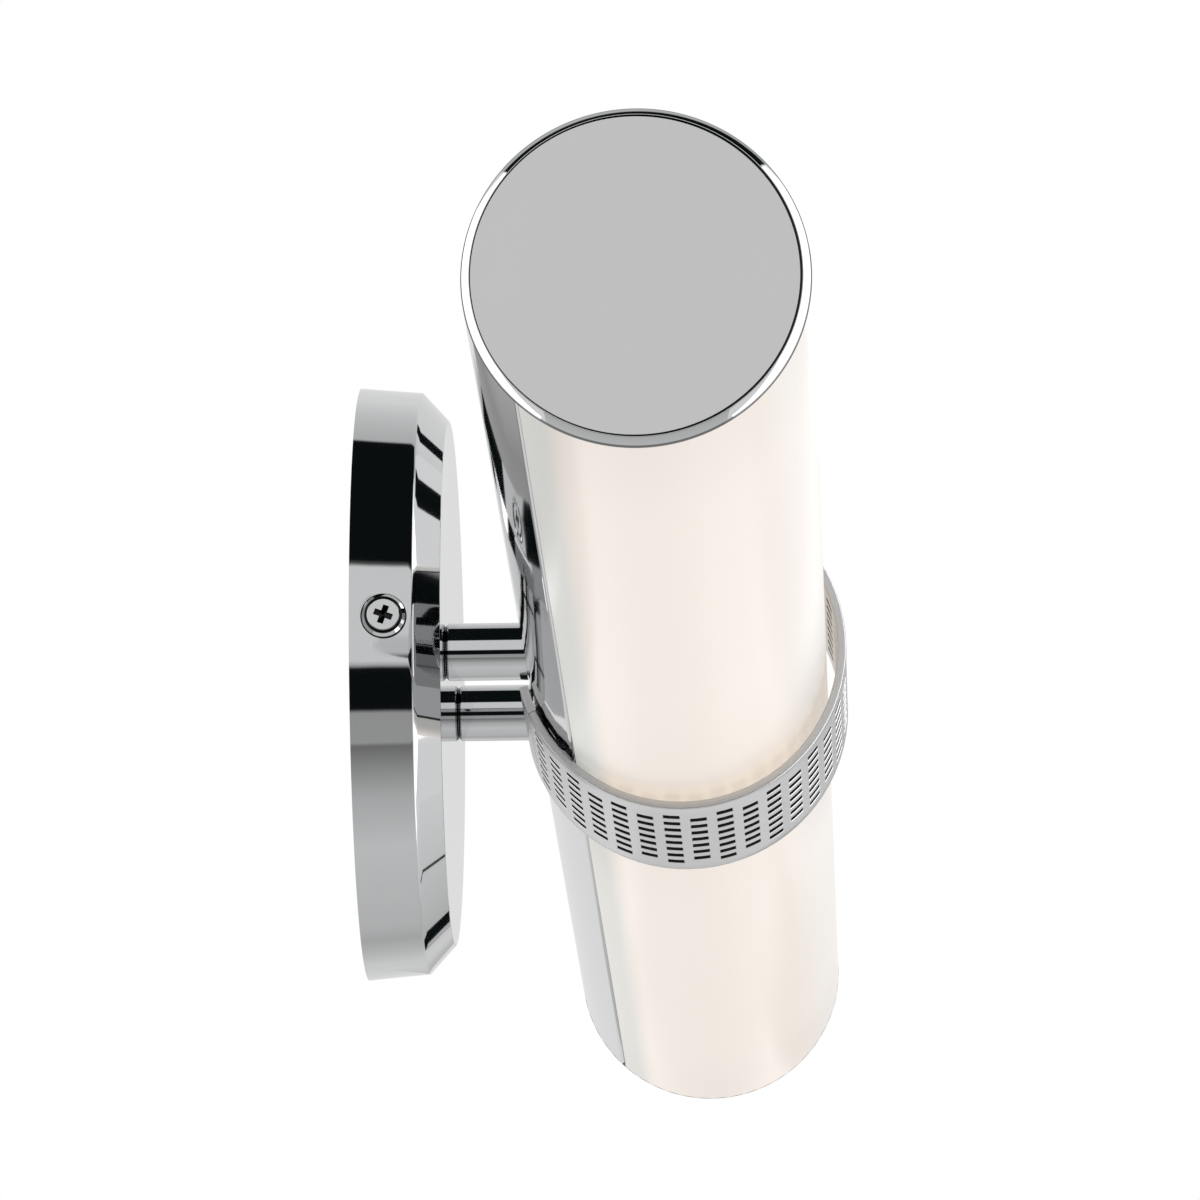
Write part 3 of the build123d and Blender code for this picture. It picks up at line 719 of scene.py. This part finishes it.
class BATHBAR_OT_canopy_screws(bpy.types.Operator):
    """Make the canopy's side screws, with cross recess and thread"""
    bl_idname = "bathbar.canopy_screws"
    bl_label = "Canopy screws"

    def execute(self, context):
        shape = context.scene.bathbar_shape
        for name, side in SIDES.items():
            centre = (side * (SCREW_END - 1.0 * MM), SCREW_Y, 0)
            add_piece(f"pan_screw_{name}", [self.screw(shape, centre, (side, 0, 0))], finish_of("polished_chrome"),
                      f"screw_{name}", [f"canopy_screw_{name}"], 40)
        return {"FINISHED"}

    @staticmethod
    def screw(shape, centre, axis):
        """One grid from the crown to the tip. The crown is flat with a quarter circle at its edge, less the cross
        recess, whose depth is a smooth step of the distance to two crossed bars; the shank's radius follows a
        helical ridge."""
        turns, head, edge, sag = 192, 3.35 * MM, 0.36 * MM, 0.05 * MM
        crest, root, reach, tip = 1.93 * MM, 1.52 * MM, 12.95 * MM, 1.2 * MM
        angle = np.linspace(0, 2 * math.pi, turns, endpoint=False)[None, :]
        bend = np.linspace(0, math.pi / 2, 7)
        flat = np.concatenate([np.linspace(0, 2.1 * MM, 60), np.linspace(2.2 * MM, head - edge, 7)[:-1]])
        crown = np.concatenate([flat, head - edge + edge * np.sin(bend)])[:, None]
        fall = np.concatenate([sag * (flat / (head - edge)) ** 2, sag + (edge - sag) * (1 - np.cos(bend))])[:, None]
        cross_turn = math.radians(25)
        u, v = np.abs(crown * np.cos(angle - cross_turn)), np.abs(crown * np.sin(angle - cross_turn))
        arm = shape.recess_width / 2
        bars = np.minimum(np.maximum(u - shape.recess_reach, v - arm), np.maximum(v - shape.recess_reach, u - arm))
        sunk = np.clip(0.5 - bars / (0.14 * MM), 0, 1)
        depth = shape.recess_depth * sunk * (1 - 0.5 * np.clip(crown / shape.recess_reach, 0, 1))
        skirt = np.array([(0.1 * MM, head), (0.0, head - 0.1 * MM), (0.0, crest + 0.05 * MM)])
        along = -np.arange(0, reach - tip, shape.screw_pitch / 10)[:, None]
        fade = np.clip(-along / shape.screw_pitch, 0, 1) * np.clip((along + reach) / (2 * tip), 0, 1)
        thread = root + (crest - root) * fade * ridge(along / shape.screw_pitch - angle / (2 * math.pi))
        point_along = -np.array([[reach - tip], [reach], [reach]])
        point_out = np.array([[root], [0.7 * MM], [0.0]])
        wide = (1, turns)
        x = np.concatenate([shape.head_height - fall - depth, np.tile(skirt[:, :1], wide), np.tile(along, wide),
                            np.tile(point_along, wide)])
        out = np.concatenate([np.tile(crown, wide), np.tile(skirt[:, 1:], wide), thread, np.tile(point_out, wide)])
        points = turned(x, out, np.broadcast_to(angle, x.shape), centre, axis)
        return points.reshape(-1, 3), grid_quads(len(x), turns, close_columns=True)


class BATHBAR_OT_nipples(bpy.types.Operator):
    """Cut the threads of the tubes that hold posts and canopy together"""
    bl_idname = "bathbar.nipples"
    bl_label = "Threaded tubes"

    def execute(self, context):
        shape = context.scene.bathbar_shape
        for name, side in SIDES.items():
            low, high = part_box(f"nipple_{name}")
            centre = ((low.x + high.x) / 2, high.y, 0)
            add_piece(f"threaded_tube_{name}", [self.tube(shape, centre, high.y - low.y, (high.z - low.z) / 2)],
                      finish_of("zinc_steel"), "light", [f"nipple_{name}"], 40)
        return {"FINISHED"}

    @staticmethod
    def tube(shape, centre, reach, crest):
        """Closed grid: the outside's radius follows a helical ridge that fades at both ends, the bore is plain."""
        turns, bore, cut = 72, crest - 1.3 * MM, 0.42 * MM
        angle = np.linspace(0, 2 * math.pi, turns, endpoint=False)[None, :]
        along = np.linspace(0.2 * MM, reach - 0.2 * MM, int(reach / shape.nipple_pitch * 8))[:, None]
        fade = np.clip(np.minimum(along, reach - along) / shape.nipple_pitch, 0, 1)
        thread = crest - cut + cut * fade * ridge(along / shape.nipple_pitch - angle / (2 * math.pi))
        ends = np.array([(reach, crest - cut), (reach, bore), (0, bore), (0, crest - cut)])
        wide = (1, turns)
        x = np.concatenate([np.tile(along, wide), np.tile(ends[:, :1], wide)])
        out = np.concatenate([thread, np.tile(ends[:, 1:], wide)])
        points = turned(x, out, np.broadcast_to(angle, x.shape), centre, (0, -1, 0))
        return points.reshape(-1, 3), grid_quads(len(x), turns, close_rows=True, close_columns=True)


# Levels of the cards that the metal mirrors; the ring is dark where its level is nought
DARK = (0.005, 0.0073, 0.008)
RING_LEVELS = (  # by degrees up from the tube's left end
    (-180, 0.82), (-152, 0.86), (-130, 0.59), (-120, 0.70), (-78, 0.80), (-57, 0.62), (-36.2, 0.22), (-35.7, 0.46),
    (-22.9, 0.44), (-22.5, 0), (-5.9, 0), (-5.5, 0.88), (33.4, 0.88), (33.8, 0), (95.1, 0), (95.5, 0.65), (130, 0.92),
    (150, 0.84), (166, 0.78), (180, 0.82))
LOW_LEVELS = (24, 0.56), (42, 0.73), (61, 0.86), (75, 0.95)  # by degrees from the tube's right end to the room
CHAMFER_FLAGS = {  # degrees up from the canopy's left side
    "upper": (43, 47), "middle": (24, 31.5), "thread": (-53.3, -52.5), "lower": (-76.5, -71.5)}


class BATHBAR_OT_stage(bpy.types.Operator):
    """Set up camera, lamps, reflection cards, sky and floor"""
    bl_idname = "bathbar.stage"
    bl_label = "Stage"

    def execute(self, context):
        stage = context.scene.bathbar_stage
        context.scene.view_settings.view_transform = "Standard"
        self.camera(context, stage)
        self.sky(context, stage)
        self.floor(context, stage)
        self.cards(context, stage)
        self.panels(context, stage)
        return {"FINISHED"}

    @staticmethod
    def camera(context, stage):
        """Long lens below the near end of the tube."""
        data = bpy.data.cameras.new("camera")
        data.sensor_width, data.lens = 36, stage.camera_lens
        data.clip_start, data.clip_end = 0.05, 60
        eye = bpy.data.objects.new("camera", data)
        place = Vector(stage.camera_place)
        view = (Vector(stage.camera_aim) - place).to_track_quat("-Z", "Y").to_matrix().to_4x4()
        eye.matrix_world = Matrix.Translation(place) @ view @ Matrix.Rotation(stage.camera_roll, 4, "Z")
        context.scene.collection.objects.link(eye)
        context.scene.camera = eye

    @staticmethod
    def sky(context, stage):
        """White where the camera, metal and clear surfaces look, plain soft light elsewhere."""
        world = bpy.data.worlds.new("sky")
        world.use_nodes = True
        world.node_tree.nodes.clear()
        flow = Flow(world.node_tree)
        rays = flow.make("LightPath").socket.node.outputs
        seen = [Flow(world.node_tree, rays[name]) for name in ("Is Camera Ray", "Is Glossy Ray", "Is Transmission Ray")]
        white = seen[0].least(seen[1]).least(seen[2])
        strength = stage.ambient + (1 - stage.ambient) * white
        light = flow.make("Background", inputs={"Color": (1, 1, 1, 1), "Strength": strength})
        flow.make("OutputWorld", inputs={"Surface": light})
        context.scene.world = world

    def floor(self, context, stage):
        """Pale floor far below the light, which takes its shadow and is near white to the camera."""
        paint = Finish("floor_paint")
        paint.material.cycles.emission_sampling = "NONE"
        cloud = paint.noise(3, detail=2)
        tone = cloud.between((0.84, 0.84, 0.84), (0.88, 0.88, 0.88))
        seen = paint.flow.make("LightPath", output="Is Camera Ray")
        pale = paint.end(Base_Color=tone, Roughness=0.9, Specular_IOR_Level=0.1,
                         Emission_Color=seen.between((0, 0, 0), (0.75, 0.75, 0.75)), Emission_Strength=1.0)
        side = (-stage.floor_reach, stage.floor_reach)
        floor = self.staged(context, "floor", self.flat(side, side, (stage.floor_level,)), pale)
        floor.visible_glossy = False

    def cards(self, context, stage):
        """What only mirror reflections see: a ring about the light, flat cards near it, dark flags and a low card."""
        ring = self.paint("ring_paint", lambda x, y, z: z.over(-x) / (2 * math.pi) + 0.5,
                          [((degrees + 180) / 360, level or DARK) for degrees, level in RING_LEVELS])
        self.card(context, "reflection_ring", self.hoop(stage), ring)
        self.flat_cards(context)
        dark = self.paint("flag_paint", lambda x, y, z: z, [(0, DARK), (1, DARK)])
        self.card(context, "wall_flag", self.curtain(stage, (36, 66), (-0.9, 0.9)), dark)
        self.card(context, "room_flag", self.curtain(stage, (-66, -36), (-0.25, 0.6)), dark)
        for name, span in CHAMFER_FLAGS.items():
            self.card(context, f"{name}_flag", self.mirrored(stage, span), dark)
        low = self.paint("low_card_paint", lambda x, y, z: (-y).over(x) / (math.pi / 2),
                         [(degrees / 90, level) for degrees, level in LOW_LEVELS])
        self.card(context, "low_card", self.curtain(stage, (-75, -24), (-0.95, -0.26)), low)

    def flat_cards(self, context):
        """A grey card behind the light for its housing, and two beyond its right end for the sleeve's gloss: one below
        the tube, one beside it with a bright gap where the band looks."""
        back_x, back_y, back_z = (-0.07, 0.2), (0.03,), (-0.1, 0.09)
        back = self.paint("back_card_paint", lambda x, y, z: x.within(*back_x),
                          [(0, 0.46), (0.3, 0.30), (0.8, 0.36), (1, 0.50)])
        self.card(context, "back_card", self.flat(back_x, back_y, back_z), back)
        beyond, far_y, far_z = (0.40,), (-0.165, 0), (-0.19, -0.045)
        far = self.paint("far_card_paint", lambda x, y, z: z.along(*far_z) * y.within(far_y[0], -0.09),
                         [(0, 0.85), (0.45, 0.74), (0.75, 0.64), (1, 0.56)])
        self.card(context, "far_card", self.flat(beyond, far_y, far_z), far)
        side_y, side_z = (-0.27, -0.10), (far_z[1], 0.15)
        side = self.paint("side_card_paint", lambda x, y, z: y.along(*side_y),
                          [(0, 0.57), (0.42, 0.49), (0.48, 0.86), (0.63, 0.86), (0.70, 0.42), (1, 0.38)])
        self.card(context, "side_card", self.flat(beyond, side_y, side_z), side)

    @staticmethod
    def flat(x, y, z):
        """Flat card between limits on two axes, square on the third, which has one limit."""
        grid = np.meshgrid(*(np.linspace(*limits, 5) if len(limits) == 2 else limits for limits in (x, y, z)),
                           indexing="ij")
        return np.stack(grid, -1).reshape(5, 5, 3)

    @staticmethod
    def hoop(stage):
        """Ring of cards about the y axis: a cylinder from the tube's right end, below it to the left end and back above
        it."""
        turn, wide = np.meshgrid(np.radians(np.linspace(-180, 180, 181)), np.linspace(-1, 1, 3), indexing="ij")
        return np.stack([-stage.ring_radius * np.cos(turn), stage.ring_width * wide,
                         stage.ring_radius * np.sin(turn)], -1)

    @staticmethod
    def curtain(stage, turn, height):
        """Upright card bent round the light: part of a cylinder between two angles and two heights."""
        turn, z = np.meshgrid(np.radians(np.linspace(*turn, 17)), np.linspace(*height, 5), indexing="ij")
        return np.stack([stage.flag_radius * np.cos(turn), stage.flag_radius * np.sin(turn), z], -1)

    @staticmethod
    def mirrored(stage, turn):
        """Card that the canopy's chamfer shows to the camera between two angles round it: a strip along the ends of
        the rays d - 2 (d . n) n, where d is the view of the chamfer's middle and n its normal."""
        turn = np.radians(np.linspace(*turn, 5))
        out = np.stack([-np.cos(turn), np.zeros_like(turn), np.sin(turn)], -1)
        spot = CHAMFER_RADIUS * out + np.array([0, CANOPY_FRONT + CHAMFER_DEPTH / 2, 0])
        normal = CHAMFER_DEPTH * out - np.array([0, CHAMFER_WIDTH, 0])
        normal /= math.hypot(CHAMFER_DEPTH, CHAMFER_WIDTH)
        view = spot - np.array(stage.camera_place)
        view /= np.linalg.norm(view, axis=1, keepdims=True)
        ray = view - 2 * (view * normal).sum(1, keepdims=True) * normal
        side = np.cross(ray, np.gradient(ray, axis=0))
        side /= np.linalg.norm(side, axis=1, keepdims=True)
        width = stage.flag_width * np.array([-1, 0, 1])[None, :, None]
        return (spot + stage.flag_reach * ray)[:, None, :] + width * side[:, None, :]

    @staticmethod
    def paint(name, value, stops):
        """Light whose level, or colour, is a ramp of a value of the Object coordinates. It's left out of the direct
        light."""
        paint = Finish(name)
        paint.material.cycles.emission_sampling = "NONE"
        ramp = [(place, level if isinstance(level, tuple) else (level,) * 3) for place, level in stops]
        colour = paint.flow.make("ValToRGB", {"stops": ramp}, {"Fac": value(*paint.axes())})
        light = paint.flow.make("Emission", inputs={"Color": colour, "Strength": 1.0})
        paint.flow.make("OutputMaterial", inputs={"Surface": light})
        return paint.material

    def card(self, context, name, grid, material):
        """A grid of points as a card that only mirror reflections see."""
        card = self.staged(context, name, grid, material)
        card.visible_camera = card.visible_diffuse = card.visible_transmission = False
        card.visible_volume_scatter = card.visible_shadow = False

    @staticmethod
    def staged(context, name, grid, material):
        """A grid of points as a plain mesh that isn't part of the light."""
        mesh = bpy.data.meshes.new(name)
        mesh.from_pydata(grid.reshape(-1, 3).tolist(), [], grid_quads(*grid.shape[:2]).tolist())
        mesh.materials.append(material)
        made = bpy.data.objects.new(name, mesh)
        context.scene.collection.objects.link(made)
        return made

    @staticmethod
    def panels(context, stage):
        """Two tall soft panels, one on each side."""
        x, y, z = stage.panel_place
        for name, side in (("room_panel", -1), ("wall_panel", 1)):
            lamp = bpy.data.lights.new(name, "AREA")
            lamp.shape, lamp.size, lamp.size_y = "RECTANGLE", stage.panel_width, stage.panel_height
            lamp.energy = stage.panel_power
            holder = bpy.data.objects.new(name, lamp)
            facing = Vector((0, -side, 0)).to_track_quat("-Z", "Z").to_matrix().to_4x4()
            holder.matrix_world = Matrix.Translation((x, side * y, z)) @ facing
            holder.visible_camera = False
            context.scene.collection.objects.link(holder)


class BATHBAR_PT_panel(bpy.types.Panel):
    """Lists the steps that dress the bath bar"""
    bl_idname = "BATHBAR_PT_panel"
    bl_label = "Bath bar"
    bl_space_type = "VIEW_3D"
    bl_region_type = "UI"
    bl_category = "Bath bar"

    def draw(self, context):
        for step in STEPS:
            self.layout.operator(step.bl_idname)
        for group in (context.scene.bathbar_shape, context.scene.bathbar_finish, context.scene.bathbar_stage):
            box = self.layout.box()
            for name in group.__annotations__:
                box.prop(group, name)


STEPS = (BATHBAR_OT_stage, BATHBAR_OT_frame, BATHBAR_OT_end_caps, BATHBAR_OT_band, BATHBAR_OT_canopy_screws,
         BATHBAR_OT_nipples)
GROUPS = {"bathbar_shape": BathBarShape, "bathbar_finish": BathBarFinish, "bathbar_stage": BathBarStage}


def register():
    for group in (*GROUPS.values(), *STEPS, BATHBAR_PT_panel):
        bpy.utils.register_class(group)
    for name, group in GROUPS.items():
        setattr(bpy.types.Scene, name, bpy.props.PointerProperty(type=group))


def unregister():
    for name in GROUPS:
        delattr(bpy.types.Scene, name)
    for group in (BATHBAR_PT_panel, *reversed(STEPS), *reversed(GROUPS.values())):
        bpy.utils.unregister_class(group)


def main():
    """Dress the frame step by step."""
    register()
    bpy.ops.bathbar.stage()
    bpy.ops.bathbar.frame()
    bpy.ops.bathbar.end_caps()
    bpy.ops.bathbar.band()
    bpy.ops.bathbar.canopy_screws()
    bpy.ops.bathbar.nipples()


if __name__ == "__main__":
    main()
